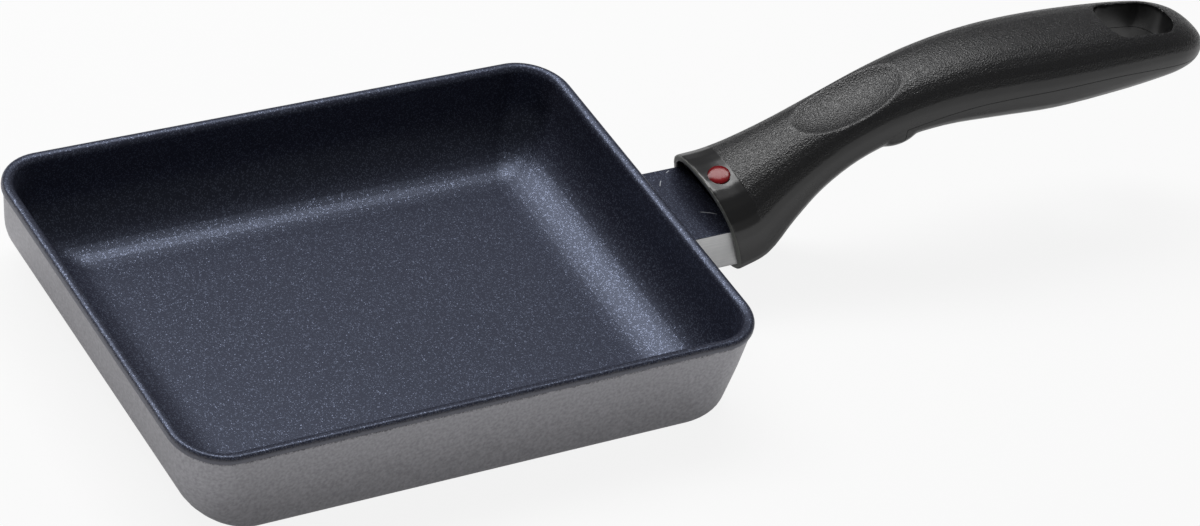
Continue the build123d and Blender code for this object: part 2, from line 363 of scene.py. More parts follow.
# the handle, from its mouth round the lug to its tail
handle = {
    "mouth": (108.9, 17.4),
    # place along X, height of the middle, width, thickness, climb in degrees
    "rows": [
        (109.0, 17.1, 35.8, 34.0, 24),
        (117.6, 19.3, 34.2, 32.6, 30),
        (126.2, 26.0, 29.2, 26.8, 35),
        (136.0, 33.3, 25.2, 21.6, 33),
        (148.1, 40.4, 23.2, 19.4, 27),
        (162.0, 46.0, 23.8, 19.6, 17),
        (178.0, 49.5, 26.0, 21.2, 8),
        (195.9, 50.6, 28.8, 23.2, 0),
        (217.0, 50.2, 30.4, 24.0, 0),
        (240.0, 50.1, 28.8, 21.8, 0),
        (256.0, 49.9, 26.3, 18.7, 0),
        (263.4, 49.5, 24.2, 15.8, 0),
        (268.8, 49.0, 20.4, 12.6, 0),
        (272.8, 48.3, 14.6, 8.8, 0),
        (275.1, 47.8, 7.4, 5.0, 0),
        (275.9, 47.7, 3.0, 2.4, 0),
    ],
    "profile": 0.5744,
    "ringSteps": 8,
    "between": 4,
    "frontRound": 0.6,
    "frontSteps": 4,
    "frontShare": 0.43,  # where the first full outline behind the rounded edge stands
    "lip": 1.8,
    "mouthDepth": 3.0,
    "mouthSlope": 0.92,  # the mouth's depth is measured along the slant
    "mouthStart": 2.0,
    "voxel": 0.48,
    "quickVoxel": 2.4,
    "softening": 5,
    "smooth": 40,
}
mouthTilt = radians(handle["rows"][0][4])

# the line along which the under cover meets the main moulding: place along X and height
seam = {
    "points": [
        (163.9, 44.5),
        (177.0, 47.9),
        (190.0, 50.2),
        (211.9, 51.1),
        (237.0, 50.9),
        (262.2, 48.6),
        (286.0, 46.5),
    ],
    "between": 6,
    "gap": 0.18,
    "bottom": 10.0,
    "width": 60.0,
}

hole = {
    "front": 236.5,
    "rear": 262.5,
    "frontWidth": 15.8,
    "rearWidth": 14.4,
    "frontRadius": 5.8,
    "rearRadius": 6.6,
    "cornerSteps": 10,
    "middle": 50.0,
    "cutHeight": 60.0,
}

# balls that shape the handle: the thumb's dent, and the finger bump at a place and height
dent = {"share": 0.262, "length": 48.0, "width": 29.4, "height": 16.0, "depth": 3.4}
bump = {"place": (163.3, 41.9), "climb": 14, "length": 24.0, "width": 24.0, "height": 14.0}

# upright pockets of the two screws
screwPocket = {"place": 124.0, "diameter": 9.8, "bottom": 0.0, "seat": 16.6}
coverPocket = {"place": 231.0, "diameter": 6.0, "bottom": 20.0, "seat": 42.8}


def smoothRows(rows, between):
    # rows in between, on a smooth cubic curve through the given ones
    spans = [0]
    for low, high in zip(rows, rows[1:]):
        spans.append(spans[-1] + max(sqrt(sum((a - b) ** 2 for a, b in zip(low[:4], high[:4]))), touching))
    slopes = []
    for index in range(len(rows)):
        before, after = max(index - 1, 0), min(index + 1, len(rows) - 1)
        slopes.append([(b - a) / (spans[after] - spans[before]) for a, b in zip(rows[before], rows[after])])
    made = []
    for index in range(len(rows) - 1):
        reach = spans[index + 1] - spans[index]
        for step in range(between):
            t = step / between
            h00, h10 = 2 * t ** 3 - 3 * t ** 2 + 1, t ** 3 - 2 * t ** 2 + t
            h01, h11 = 3 * t ** 2 - 2 * t ** 3, t ** 3 - t ** 2
            made.append([h00 * a + h10 * reach * sa + h01 * b + h11 * reach * sb for a, b, sa, sb in
                         zip(rows[index], rows[index + 1], slopes[index], slopes[index + 1])])
    return made + [list(rows[-1])]


def rowAt(share):
    # the handle's row at a share of its length
    start, end = handle["rows"][0][0], handle["rows"][-1][0]
    x = start + share * (end - start)
    for low, high in zip(handle["rows"], handle["rows"][1:]):
        if low[0] <= x <= high[0]:
            part = (x - low[0]) / (high[0] - low[0])
            return [a + part * (b - a) for a, b in zip(low, high)]


def ringForm(name, rows):
    # closed form through rings square to the handle's middle line
    piece = newPiece(name)
    for x, z, width, thickness, climb in rows:
        addRing(piece, (x, 0, z), climb, thickness, width, None, handle["profile"], handle["ringSteps"])
    bridgeRings(piece, 0, -1)
    closePiece(piece)
    return piece


def frontRows(row, nextRow):
    # the front edge is rounded by a few smaller outlines in the first stretch
    x, z, width, thickness, climb = row
    rows = []
    for step in range(handle["frontSteps"]):
        angle = pi / 2 * step / handle["frontSteps"]
        deep = handle["frontRound"] * (1 - cos(angle))
        less = 2 * handle["frontRound"] * (1 - sin(angle))
        place = [x + deep * cos(mouthTilt), z + deep * sin(mouthTilt)]
        rows.append(place + [width - less, thickness - less, climb])
    return rows + [[a + handle["frontShare"] * (b - a) for a, b in zip(row, nextRow)]]


def mouthRows():
    # outlines of the mouth, from in front of the handle to its floor
    x, z, width, thickness, climb = handle["rows"][0]
    start = handle["mouthStart"]
    depth = handle["mouthDepth"] / (handle["rows"][-1][0] - x) * handle["mouthSlope"]
    rows = [(x - start * cos(mouthTilt), z - start * sin(mouthTilt), width, thickness, climb),
            handle["rows"][0], rowAt(depth)]
    lip = 2 * handle["lip"]
    return [(x, z, width - lip, thickness - lip, climb) for x, z, width, thickness, climb in rows]


def isUprightAt(line, x):
    a, b = line.verts[0].co / mm, line.verts[1].co / mm
    return max(abs(a.x - x), abs(b.x - x), abs(a.y - b.y)) < touching


def makeHoleCutter():
    # a block that narrows to the rear, with rounded upright edges
    piece = newPiece("holeCutter")
    middle = (hole["front"] + hole["rear"]) / 2
    bpy.ops.mesh.primitive_cube_add(size=1, location=(0, 0, 0))
    drawOut(hole["rear"] - hole["front"], hole["frontWidth"], hole["cutHeight"])
    moveTo((middle, 0, hole["middle"]))
    selectWhere(piece, "verts", lambda v: v.co.x > middle * mm)
    bpy.ops.transform.resize(value=(1, hole["rearWidth"] / hole["frontWidth"], 1),
                             center_override=(hole["rear"] * mm, 0, hole["middle"] * mm))
    bpy.ops.mesh.select_mode(type="EDGE")
    for x, radius in ((hole["front"], hole["frontRadius"]), (hole["rear"], hole["rearRadius"])):
        selectWhere(piece, "edges", lambda line: isUprightAt(line, x))
        bpy.ops.mesh.bevel(offset=radius * mm, segments=hole["cornerSteps"], affect="EDGES")
    bpy.ops.mesh.select_mode(type="VERT")
    closePiece(piece)
    return piece


def addBall(name, place, climb, ball):
    # a ball drawn out to three sizes, lying along the handle
    piece = newPiece(name)
    bpy.ops.mesh.primitive_uv_sphere_add(segments=96, ring_count=64, radius=0.5, location=(0, 0, 0))
    drawOut(ball["length"], ball["width"], ball["height"])
    turnUp(climb)
    moveTo(place)
    closePiece(piece)
    return piece


def addPin(name, pocket):
    piece = newPiece(name)
    bottom, top = pocket["bottom"], pocket["seat"]
    bpy.ops.mesh.primitive_cylinder_add(vertices=48, radius=pocket["diameter"] / 2 * mm,
                                        depth=(top - bottom) * mm,
                                        location=Vector((pocket["place"], 0, (top + bottom) / 2)) * mm)
    closePiece(piece)
    return piece


def makeSeamBlock(name, grow):
    # everything under the seam line, as upright outlines bridged from front to rear
    piece = newPiece(name)
    rows = smoothRows([(x, z, 0, 0) for x, z in seam["points"]], seam["between"])
    rows[0][0] -= grow
    for row in rows:
        height = row[1] + grow - seam["bottom"]
        addRing(piece, (row[0], 0, seam["bottom"] + height / 2), 0, height, seam["width"], 0)
    bridgeRings(piece, 0, -1)
    closePiece(piece)
    return piece


def makeHandle():
    # the main moulding and the under cover, cut from one softened form
    rows = smoothRows(handle["rows"], handle["between"])
    form = ringForm("handleShell", frontRows(rows[0], rows[1]) + rows[1:])
    print("handle form bridged")
    cutWith(form, makeHoleCutter())
    x, z, width, thickness, climb = rowAt(dent["share"])
    lift = thickness / 2 + dent["height"] / 2 - dent["depth"]
    place = (x - lift * sin(radians(climb)), 0, z + lift * cos(radians(climb)))
    cutWith(form, addBall("dentCutter", place, climb, dent))
    cutWith(form, addPin("screwCutter", screwPocket))
    cutWith(form, addPin("coverCutter", coverPocket))
    place = (bump["place"][0], 0, bump["place"][1])
    cutWith(form, addBall("bumpForm", place, bump["climb"], bump), "UNION")
    print("handle cut, faces", len(form.data.polygons))
    voxel = handle["voxel"] * 1
    useModifier(form, "REMESH", mode="VOXEL", voxel_size=voxel * mm)
    useModifier(form, "SMOOTH", factor=0.5, iterations=handle["softening"])
    print("handle softened, faces", len(form.data.polygons))
    # crisp cuts come after the softening
    cutWith(form, ringForm("mouthCutter", mouthRows()))
    cutWith(form, makeBadgePocket())
    cover = form.copy()
    cover.data = form.data.copy()
    cover.name = "underCover"
    cover.data.name = "underCover"
    bpy.context.scene.collection.objects.link(cover)
    cutWith(form, makeSeamBlock("seamAbove", seam["gap"] / 2))
    cutWith(cover, makeSeamBlock("seamBelow", -seam["gap"] / 2), "INTERSECT")
    smoothShade(form, handle["smooth"])
    smoothShade(cover, handle["smooth"])
    print("handle parted, faces", len(form.data.polygons), len(cover.data.polygons))
    return form, cover


# plain domed disc set in the collar
badge = {
    "place": (107.75, -2.4, 32.9),
    "climb": 17,
    "turn": 7,
    "diameter": 6.4,
    "thickness": 1.0,
    # the shallow dome is drawn up ring by ring: how far in, and how far up
    "dome": [(0.3, 0.14), (0.5, 0.10), (0.7, 0.06), (0.7, 0.03), (0.5, 0.01)],
    "pocket": 6.8,
    "pocketHeight": 6.0,
}


def badgeSeat():
    turn = Matrix.Rotation(-radians(badge["climb"]), 4, "Y") @ Matrix.Rotation(radians(badge["turn"]), 4, "X")
    return Matrix.Translation(Vector(badge["place"]) * mm) @ turn


def makeBadgePocket():
    # round seat that opens outward from the disc's back
    piece = newPiece("badgePocket")
    middle = badge["pocketHeight"] / 2 - badge["thickness"] / 2
    bpy.ops.mesh.primitive_cylinder_add(vertices=64, radius=badge["pocket"] / 2 * mm,
                                        depth=badge["pocketHeight"] * mm, location=(0, 0, middle * mm))
    closePiece(piece)
    piece.data.transform(badgeSeat())
    return piece


def makeBadge():
    piece = newPiece("badgeDisc")
    bpy.ops.mesh.primitive_cylinder_add(vertices=64, radius=badge["diameter"] / 2 * mm,
                                        depth=badge["thickness"] * mm, location=(0, 0, 0))
    selectWhere(piece, "faces", lambda face: face.normal.z > 0.9)
    for inset, rise in badge["dome"]:
        bpy.ops.mesh.inset(thickness=inset * mm, depth=rise * mm)
    closePiece(piece)
    piece.data.transform(badgeSeat())
    smoothShade(piece, handle["smooth"])
    return piece


toMm = (1000, 1000, 1000)  # a Mapping node's scale from metres to millimetres


def linear(code):
    # sRGB hex to linear colour
    parts = [int(code[i:i + 2], 16) / 255 for i in (1, 3, 5)]
    return tuple(p / 12.92 if p <= 0.04045 else ((p + 0.055) / 1.055) ** 2.4 for p in parts) + (1,)


def newMaterial(name):
    material = bpy.data.materials.new(name)
    material.use_nodes = True
    shader = material.node_tree.nodes["Principled BSDF"]
    return material, shader


def feed(material, node, links):
    for name, source in links.items():
        material.node_tree.links.new(source, node.inputs[name])


def addNode(material, kind, links=None, inputs=None, **settings):
    # one node with its settings, constant inputs and links
    node = material.node_tree.nodes.new(kind)
    for name, value in settings.items():
        setattr(node, name, value)
    for name, value in (inputs or {}).items():
        node.inputs[name].default_value = value
    feed(material, node, links or {})
    return node


# mica is really under 0.1 mm, drawn larger so that it shows
nonstick = {
    "film": "#2b2c39",
    "deep": "#232430",
    "mica": "#5b6172",
    "tint": "#bbc8e8",
    "micaSize": 0.27,
    "micaShare": 0.2,
    "micaTilt": 0.19,
    "micaMetal": 0.4,
    "cloud": 45.0,
    "filmRoughness": 0.38,
    "micaRoughness": 0.31,
    "specular": 0.8,
}

# parts of circles: the middle along X and Y, the radius, and the noise level above which a stretch shows
scratches = {
    "bare": "#c4c8cf",
    "circles": [(98.0, -19.5, 15.4, 0.56), (108.5, 2.0, 13.2, 0.62)],
    "halfWidth": 0.05,
    "fadedAt": 0.16,
    "gapsPerMm": 0.22,
}

# grey paint dusts the outer side of the film's rim, and the same grey is partly painted light that lightens
# the bead's shaded outer face: how far in from its outside and its top
rimDustAndPaintedLight = {
    "color": "#77767b",
    "deepest": 1.1,
    "outermost": 0.2,
    "pastTop": 0.2,
    "specksPerMm": 2.2,
    "from": 0.7,
    "to": 1.35,
}


def scratchedColor(material, inMm, color):
    # fine curved scratches through the film on the lug, each part of a circle broken up by noise
    bare = None
    for x, y, radius, least in scratches["circles"]:
        shifted = addNode(material, "ShaderNodeMapping", {"Vector": inMm.outputs[0]},
                          {"Location": (-x, -y, -lug["top"])})
        away = addNode(material, "ShaderNodeVectorMath", {0: shifted.outputs[0]}, operation="LENGTH")
        off = addNode(material, "ShaderNodeMath", {0: away.outputs["Value"]}, {1: radius},
                      operation="SUBTRACT")
        near = addNode(material, "ShaderNodeMath", {0: off.outputs[0]}, operation="ABSOLUTE")
        thin = addNode(material, "ShaderNodeMapRange", {"Value": near.outputs[0]},
                       {"From Min": scratches["halfWidth"], "From Max": scratches["fadedAt"],
                        "To Min": 1.0, "To Max": 0.0})
        patch = addNode(material, "ShaderNodeTexNoise", {"Vector": shifted.outputs[0]},
                        {"Scale": scratches["gapsPerMm"], "Detail": 1.0})
        broken = addNode(material, "ShaderNodeMath", {0: patch.outputs["Fac"]}, {1: least},
                         operation="GREATER_THAN")
        part = addNode(material, "ShaderNodeMath", {0: thin.outputs[0], 1: broken.outputs[0]},
                       operation="MULTIPLY")
        if bare is None:
            bare = part
        else:
            bare = addNode(material, "ShaderNodeMath", {0: bare.outputs[0], 1: part.outputs[0]},
                           operation="MAXIMUM")
    return addNode(material, "ShaderNodeMix", {"Factor": bare.outputs[0], 6: color.outputs[2]},
                   {7: linear(scratches["bare"])}, data_type="RGBA")


def dustedAndLitColor(material, inMm, color):
    # the outer side of the rim is told by how far past the corners' centres it lies
    radius = tray["cornerRadius"]
    centre = (tray["length"] / 2 - radius, tray["width"] / 2 - radius, 0)
    folded = addNode(material, "ShaderNodeVectorMath", {0: inMm.outputs[0]}, operation="ABSOLUTE")
    past = addNode(material, "ShaderNodeVectorMath", {0: folded.outputs[0]}, {1: centre},
                   operation="SUBTRACT")
    flat = addNode(material, "ShaderNodeVectorMath", {0: past.outputs[0]}, {1: (1, 1, 0)},
                   operation="MULTIPLY")
    beyond = addNode(material, "ShaderNodeVectorMath", {0: flat.outputs[0]}, {1: (0, 0, 0)},
                     operation="MAXIMUM")
    away = addNode(material, "ShaderNodeVectorMath", {0: beyond.outputs[0]}, operation="LENGTH")
    outer = addNode(material, "ShaderNodeMapRange", {"Value": away.outputs["Value"]},
                    {"From Min": radius - rimDustAndPaintedLight["deepest"], "From Max": radius - rimDustAndPaintedLight["outermost"]})
    height = addNode(material, "ShaderNodeSeparateXYZ", {"Vector": inMm.outputs[0]})
    under = addNode(material, "ShaderNodeMapRange", {"Value": height.outputs["Z"]},
                    {"From Min": tray["height"] - rimDustAndPaintedLight["deepest"],
                     "From Max": tray["height"] + rimDustAndPaintedLight["pastTop"], "To Min": 1.0, "To Max": 0.0})
    both = addNode(material, "ShaderNodeMath", {0: outer.outputs[0], 1: under.outputs[0]},
                   operation="MULTIPLY")
    speck = addNode(material, "ShaderNodeTexNoise", {"Vector": inMm.outputs[0]},
                    {"Scale": rimDustAndPaintedLight["specksPerMm"], "Detail": 1.0})
    uneven = addNode(material, "ShaderNodeMath", {0: both.outputs[0], 1: speck.outputs["Fac"]},
                     operation="ADD")
    # grey dust: partly real overspray, partly painted light over the bead's shaded outer face
    dustAndLight = addNode(material, "ShaderNodeMapRange", {"Value": uneven.outputs[0]},
                     {"From Min": rimDustAndPaintedLight["from"], "From Max": rimDustAndPaintedLight["to"]})
    return addNode(material, "ShaderNodeMix", {"Factor": dustAndLight.outputs[0], 6: color.outputs[2]},
                   {7: linear(rimDustAndPaintedLight["color"])}, data_type="RGBA")


def nonstickMaterial(name, finishColor):
    # PTFE nonstick film with mica, sprayed and baked: near-black navy that glitters under a lamp
    material, shader = newMaterial(name)
    place = addNode(material, "ShaderNodeTexCoord")
    inMm = addNode(material, "ShaderNodeMapping", {"Vector": place.outputs["Object"]}, {"Scale": toMm})
    flakes = addNode(material, "ShaderNodeTexVoronoi", {"Vector": inMm.outputs[0]},
                     {"Scale": 1 / nonstick["micaSize"]})
    chance = addNode(material, "ShaderNodeTexWhiteNoise", {"Vector": flakes.outputs["Position"]})
    isMica = addNode(material, "ShaderNodeMath", {0: chance.outputs["Value"]},
                     {1: nonstick["micaShare"]}, operation="LESS_THAN")
    # each flake lies at its own slant
    slant = addNode(material, "ShaderNodeVectorMath", {0: flakes.outputs["Color"]},
                    {1: (0.5, 0.5, 0.5)}, operation="SUBTRACT")
    reach = addNode(material, "ShaderNodeMath", {0: isMica.outputs[0]}, {1: nonstick["micaTilt"]},
                    operation="MULTIPLY")
    slanted = addNode(material, "ShaderNodeVectorMath",
                      {0: slant.outputs[0], "Scale": reach.outputs[0]}, operation="SCALE")
    surface = addNode(material, "ShaderNodeNewGeometry")
    leaning = addNode(material, "ShaderNodeVectorMath",
                      {0: surface.outputs["Normal"], 1: slanted.outputs[0]}, operation="ADD")
    facing = addNode(material, "ShaderNodeVectorMath", {0: leaning.outputs[0]}, operation="NORMALIZE")
    cloud = addNode(material, "ShaderNodeTexNoise", {"Vector": inMm.outputs[0]},
                    {"Scale": 1 / nonstick["cloud"], "Detail": 3.0})
    film = addNode(material, "ShaderNodeMix", {"Factor": cloud.outputs["Fac"]},
                   {6: linear(nonstick["film"]), 7: linear(nonstick["deep"])}, data_type="RGBA")
    color = addNode(material, "ShaderNodeMix", {"Factor": isMica.outputs[0], 6: film.outputs[2]},
                    {7: linear(nonstick["mica"])}, data_type="RGBA")
    finished = finishColor(material, inMm, color)
    rough = addNode(material, "ShaderNodeMapRange", {"Value": isMica.outputs[0]},
                    {"To Min": nonstick["filmRoughness"], "To Max": nonstick["micaRoughness"]})
    metal = addNode(material, "ShaderNodeMath", {0: isMica.outputs[0]}, {1: nonstick["micaMetal"]},
                    operation="MULTIPLY")
    shader.inputs["Specular Tint"].default_value = linear(nonstick["tint"])  # the blue of the shine
    shader.inputs["Specular IOR Level"].default_value = nonstick["specular"]
    feed(material, shader, {"Base Color": finished.outputs[2], "Metallic": metal.outputs[0],
                            "Roughness": rough.outputs[0], "Normal": facing.outputs[0]})
    return material


# powder flakes are really under 0.1 mm, so their mottle is drawn; orange peel has its real size
bakedPaint = {
    "pigment": "#b6b5ba",
    "shade": "#9c9ba0",
    "mottle": 0.9,
    "paintRoughness": (0.36, 0.48),
    "paintMetal": 0.8,
    "peel": 1.6,
    "peelDepth": 0.04,
    # the dark film's spray on the paint: where it starts and is full, in height
    "spray": "#4c4b52",
    "sprayMetal": 0.2,
    "sprayFrom": 26.6,
    "sprayTo": 29.0,
    "specksPerMm": 2.4,
    "specksFrom": 0.72,
    "specksTo": 1.1,
}


def paintMaterial():
    # silicone paint with aluminium powder, sprayed and baked: satin mid grey with a faint orange peel;
    # a dusting of the dark film's spray lies on it under the rim
    material, shader = newMaterial("aluminiumPowderPaint")
    place = addNode(material, "ShaderNodeTexCoord")
    inMm = addNode(material, "ShaderNodeMapping", {"Vector": place.outputs["Object"]}, {"Scale": toMm})
    grain = addNode(material, "ShaderNodeTexNoise", {"Vector": inMm.outputs[0]},
                    {"Scale": 1 / bakedPaint["mottle"], "Detail": 2.0})
    mottle = addNode(material, "ShaderNodeMapRange", {"Value": grain.outputs["Fac"]},
                     {"From Min": 0.3, "From Max": 0.7})
    tone = addNode(material, "ShaderNodeMix", {"Factor": mottle.outputs[0]},
                   {6: linear(bakedPaint["shade"]), 7: linear(bakedPaint["pigment"])}, data_type="RGBA")
    height = addNode(material, "ShaderNodeSeparateXYZ", {"Vector": inMm.outputs[0]})
    near = addNode(material, "ShaderNodeMapRange", {"Value": height.outputs["Z"]},
                   {"From Min": bakedPaint["sprayFrom"], "From Max": bakedPaint["sprayTo"]})
    speck = addNode(material, "ShaderNodeTexNoise", {"Vector": inMm.outputs[0]},
                    {"Scale": bakedPaint["specksPerMm"], "Detail": 1.0})
    both = addNode(material, "ShaderNodeMath", {0: near.outputs[0], 1: speck.outputs["Fac"]},
                   operation="ADD")
    sprayed = addNode(material, "ShaderNodeMapRange", {"Value": both.outputs[0]},
                      {"From Min": bakedPaint["specksFrom"], "From Max": bakedPaint["specksTo"]})
    color = addNode(material, "ShaderNodeMix", {"Factor": sprayed.outputs[0], 6: tone.outputs[2]},
                    {7: linear(bakedPaint["spray"])}, data_type="RGBA")
    metal = addNode(material, "ShaderNodeMapRange", {"Value": sprayed.outputs[0]},
                    {"To Min": bakedPaint["paintMetal"], "To Max": bakedPaint["sprayMetal"]})
    smooth, dull = bakedPaint["paintRoughness"]
    rough = addNode(material, "ShaderNodeMapRange", {"Value": grain.outputs["Fac"]},
                    {"To Min": smooth, "To Max": dull})
    peel = addNode(material, "ShaderNodeTexNoise", {"Vector": inMm.outputs[0]},
                   {"Scale": 1 / bakedPaint["peel"], "Detail": 1.0})
    relief = addNode(material, "ShaderNodeBump", {"Height": peel.outputs["Fac"]},
                     {"Strength": 0.5, "Distance": bakedPaint["peelDepth"] * mm})
    feed(material, shader, {"Base Color": color.outputs[2], "Metallic": metal.outputs[0],
                            "Roughness": rough.outputs[0], "Normal": relief.outputs[0]})
    return material


# real belt lines are near 0.1 mm apart, drawn coarser so that they show
groundAluminium = {
    "bright": "#f0f0f0",
    "dull": "#d4d5d6",
    "line": 0.3,
    "lineLength": 18.0,
    "lineDepth": 0.02,
    "patchesPerMm": 0.12,
    "roughness": (0.46, 0.66),
}


def aluminiumMaterial():
    # cast aluminium ground flat on a belt: bright bare metal with straight fine lines
    material, shader = newMaterial("groundCastAluminium")
    place = addNode(material, "ShaderNodeTexCoord")
    # fine across, long along X
    across = 1000 / groundAluminium["line"]
    stretch = addNode(material, "ShaderNodeMapping", {"Vector": place.outputs["Object"]},
                      {"Scale": (1000 / groundAluminium["lineLength"], across, across)})
    lines = addNode(material, "ShaderNodeTexNoise", {"Vector": stretch.outputs[0]},
                    {"Scale": 1.0, "Detail": 3.0})
    inMm = addNode(material, "ShaderNodeMapping", {"Vector": place.outputs["Object"]}, {"Scale": toMm})
    patch = addNode(material, "ShaderNodeTexNoise", {"Vector": inMm.outputs[0]},
                    {"Scale": groundAluminium["patchesPerMm"], "Detail": 3.0})
    both = addNode(material, "ShaderNodeMath", {0: lines.outputs["Fac"], 1: patch.outputs["Fac"]},
                   operation="MULTIPLY")
    tone = addNode(material, "ShaderNodeMapRange", {"Value": both.outputs[0]},
                   {"From Min": 0.1, "From Max": 0.45})
    color = addNode(material, "ShaderNodeMix", {"Factor": tone.outputs[0]},
                    {6: linear(groundAluminium["dull"]), 7: linear(groundAluminium["bright"])},
                    data_type="RGBA")
    smooth, dull = groundAluminium["roughness"]
    rough = addNode(material, "ShaderNodeMapRange", {"Value": lines.outputs["Fac"]},
                    {"To Min": smooth, "To Max": dull})
    relief = addNode(material, "ShaderNodeBump", {"Height": lines.outputs["Fac"]},
                     {"Strength": 0.6, "Distance": groundAluminium["lineDepth"] * mm})
    shader.inputs["Metallic"].default_value = 1.0
    feed(material, shader, {"Base Color": color.outputs[2], "Roughness": rough.outputs[0],
                            "Normal": relief.outputs[0]})
    return material


# eroded grain is really 0.2 to 0.3 mm, drawn at 0.45 so that it shows
blackPhenolic = {
    "smooth": "#1b1b1c",
    "grained": "#19191b",
    # painted highlight: pale grey for the mouth's front face, as if lit
    "paintedHighlight": "#70726e",
    "collar": 9.5,  # the grain starts this far behind the mouth
    "highlightWidth": 0.35,  # width of the pale band painted on the mouth's front face as a highlight
    "fade": 0.15,
    "facing": (0.26, 0.58),  # how far up a face has to look to be grained
    "grain": 0.45,
    "grainDepth": 0.2,
    "pitRoughness": 0.5,
    "peakRoughness": 0.24,
    "cloudsPerMm": 0.08,
    "polish": (0.22, 0.36),
    "highlightRoughness": 0.6,
    "ior": 1.6,
}


def phenolicMaterial():
    # black phenolic pressed in a steel mould: polished collar and sides, spark-eroded grain on top, and a
    # pale grey band on the mouth's front face that is a painted highlight, where that face catches the lamp
    material, shader = newMaterial("pressedBlackPhenolic")
    place = addNode(material, "ShaderNodeTexCoord")
    inMm = addNode(material, "ShaderNodeMapping", {"Vector": place.outputs["Object"]}, {"Scale": toMm})
    start = handle["rows"][0][0] * cos(mouthTilt) + handle["rows"][0][1] * sin(mouthTilt)
    along = addNode(material, "ShaderNodeVectorMath", {0: inMm.outputs[0]},
                    {1: (cos(mouthTilt), 0, sin(mouthTilt))}, operation="DOT_PRODUCT")
    behind = addNode(material, "ShaderNodeMath", {0: along.outputs["Value"]}, {1: start},
                     operation="SUBTRACT")
    fade = blackPhenolic["fade"]
    beyond = addNode(material, "ShaderNodeMapRange", {"Value": behind.outputs[0]},
                     {"From Min": blackPhenolic["collar"] - fade, "From Max": blackPhenolic["collar"] + fade})
    surface = addNode(material, "ShaderNodeSeparateXYZ", {"Vector": place.outputs["Normal"]})
    side, up = blackPhenolic["facing"]
    upward = addNode(material, "ShaderNodeMapRange", {"Value": surface.outputs["Z"]},
                     {"From Min": side, "From Max": up})
    grained = addNode(material, "ShaderNodeMath", {0: beyond.outputs[0], 1: upward.outputs[0]},
                      operation="MULTIPLY")
    # painted highlight: the front of the handle, round the mouth, is coloured pale grey as if lit
    paintedHighlight = addNode(material, "ShaderNodeMapRange", {"Value": behind.outputs[0]},
                      {"From Min": blackPhenolic["highlightWidth"], "From Max": blackPhenolic["highlightWidth"] + fade,
                       "To Min": 1.0, "To Max": 0.0})
    body = addNode(material, "ShaderNodeMix", {"Factor": grained.outputs[0]},
                   {6: linear(blackPhenolic["smooth"]), 7: linear(blackPhenolic["grained"])},
                   data_type="RGBA")
    color = addNode(material, "ShaderNodeMix", {"Factor": paintedHighlight.outputs[0], 6: body.outputs[2]},
                    {7: linear(blackPhenolic["paintedHighlight"])}, data_type="RGBA")
    pits = addNode(material, "ShaderNodeTexNoise", {"Vector": inMm.outputs[0]},
                   {"Scale": 1 / blackPhenolic["grain"], "Detail": 1.0, "Roughness": 0.5})
    deep = addNode(material, "ShaderNodeMath", {0: pits.outputs["Fac"], 1: grained.outputs[0]},
                   operation="MULTIPLY")
    relief = addNode(material, "ShaderNodeBump", {"Height": deep.outputs[0]},
                     {"Strength": 1.0, "Distance": blackPhenolic["grainDepth"] * mm})
    cloud = addNode(material, "ShaderNodeTexNoise", {"Vector": inMm.outputs[0]},
                    {"Scale": blackPhenolic["cloudsPerMm"], "Detail": 4.0})
    smooth, dull = blackPhenolic["polish"]
    polish = addNode(material, "ShaderNodeMapRange", {"Value": cloud.outputs["Fac"]},
                     {"To Min": smooth, "To Max": dull})
    # the grain's peaks shine and its pits don't
    glint = addNode(material, "ShaderNodeMapRange", {"Value": pits.outputs["Fac"]},
                    {"From Min": 0.35, "From Max": 0.65, "To Min": blackPhenolic["pitRoughness"],
                     "To Max": blackPhenolic["peakRoughness"]})
    rough = addNode(material, "ShaderNodeMix", {"Factor": grained.outputs[0], 2: polish.outputs[0],
                                                3: glint.outputs[0]})
    finalRoughness = addNode(material, "ShaderNodeMix", {"Factor": paintedHighlight.outputs[0], 2: rough.outputs[0]},
                   {3: blackPhenolic["highlightRoughness"]})
    shader.inputs["IOR"].default_value = blackPhenolic["ior"]
    feed(material, shader, {"Base Color": color.outputs[2], "Roughness": finalRoughness.outputs[0],
                            "Normal": relief.outputs[0]})
    return material


zincPlate = {"dark": "#8f949b", "light": "#c6c9c8", "mottlesPerMm": 1.2, "roughness": (0.24, 0.44)}


def steelMaterial():
    # zinc-plated steel, barrel plated: cool grey with a mottled, slightly dull shine
    material, shader = newMaterial("zincPlatedSteel")
    place = addNode(material, "ShaderNodeTexCoord")
    inMm = addNode(material, "ShaderNodeMapping", {"Vector": place.outputs["Object"]}, {"Scale": toMm})
    mottle = addNode(material, "ShaderNodeTexNoise", {"Vector": inMm.outputs[0]},
                     {"Scale": zincPlate["mottlesPerMm"], "Detail": 4.0})
    color = addNode(material, "ShaderNodeMix", {"Factor": mottle.outputs["Fac"]},
                    {6: linear(zincPlate["dark"]), 7: linear(zincPlate["light"])}, data_type="RGBA")
    smooth, dull = zincPlate["roughness"]
    rough = addNode(material, "ShaderNodeMapRange", {"Value": mottle.outputs["Fac"]},
                    {"To Min": smooth, "To Max": dull})
    shader.inputs["Metallic"].default_value = 1.0
    feed(material, shader, {"Base Color": color.outputs[2], "Roughness": rough.outputs[0]})
    return material


# edgeFrom and edgeTo are distances from the disc's middle
redAbs = {
    "middle": "#8e0a14",
    "edge": "#6a0a12",
    "edgeFrom": 2.1,
    "edgeTo": 3.2,
    "ripplesPerMm": 0.9,
    "roughness": (0.12, 0.24),
    "specular": 0.3,
}


